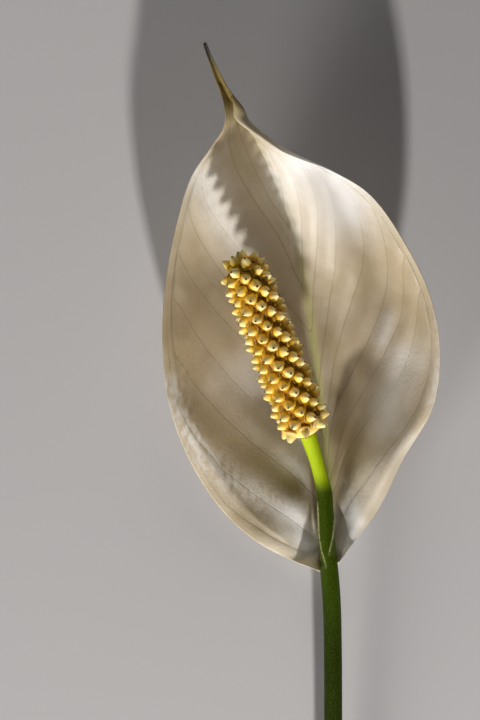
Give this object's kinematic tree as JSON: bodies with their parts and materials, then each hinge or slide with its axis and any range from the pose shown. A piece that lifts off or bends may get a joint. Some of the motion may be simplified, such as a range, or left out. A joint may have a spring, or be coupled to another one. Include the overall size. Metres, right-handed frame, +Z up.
{
  "type": "peace lily flower",
  "caption": "Cut peace lily flower lying on its back, with a cupped white spathe, a knobbly yellow spadix and a green stem.",
  "frame": {"origin": "on the surface that the flower lies on, under the middle of its bounding box", "axes": "+Y from the cut end of the stem to the tip of the spathe, +Z up out of the open face of the spathe, +X to the more cupped side"},
  "size_m": [0.0644, 0.2375, 0.0344],
  "materials": {
    "spathe": "satin cream-white plant tissue, greenish along the midrib and in the tail",
    "spadix": "soft satin golden yellow florets",
    "stem": "smooth satin green plant tissue"
  },
  "bodies": {
    "root": {"spathe": "spathe", "spadix": "spadix", "stem": "stem"}
  },
  "joints": []
}
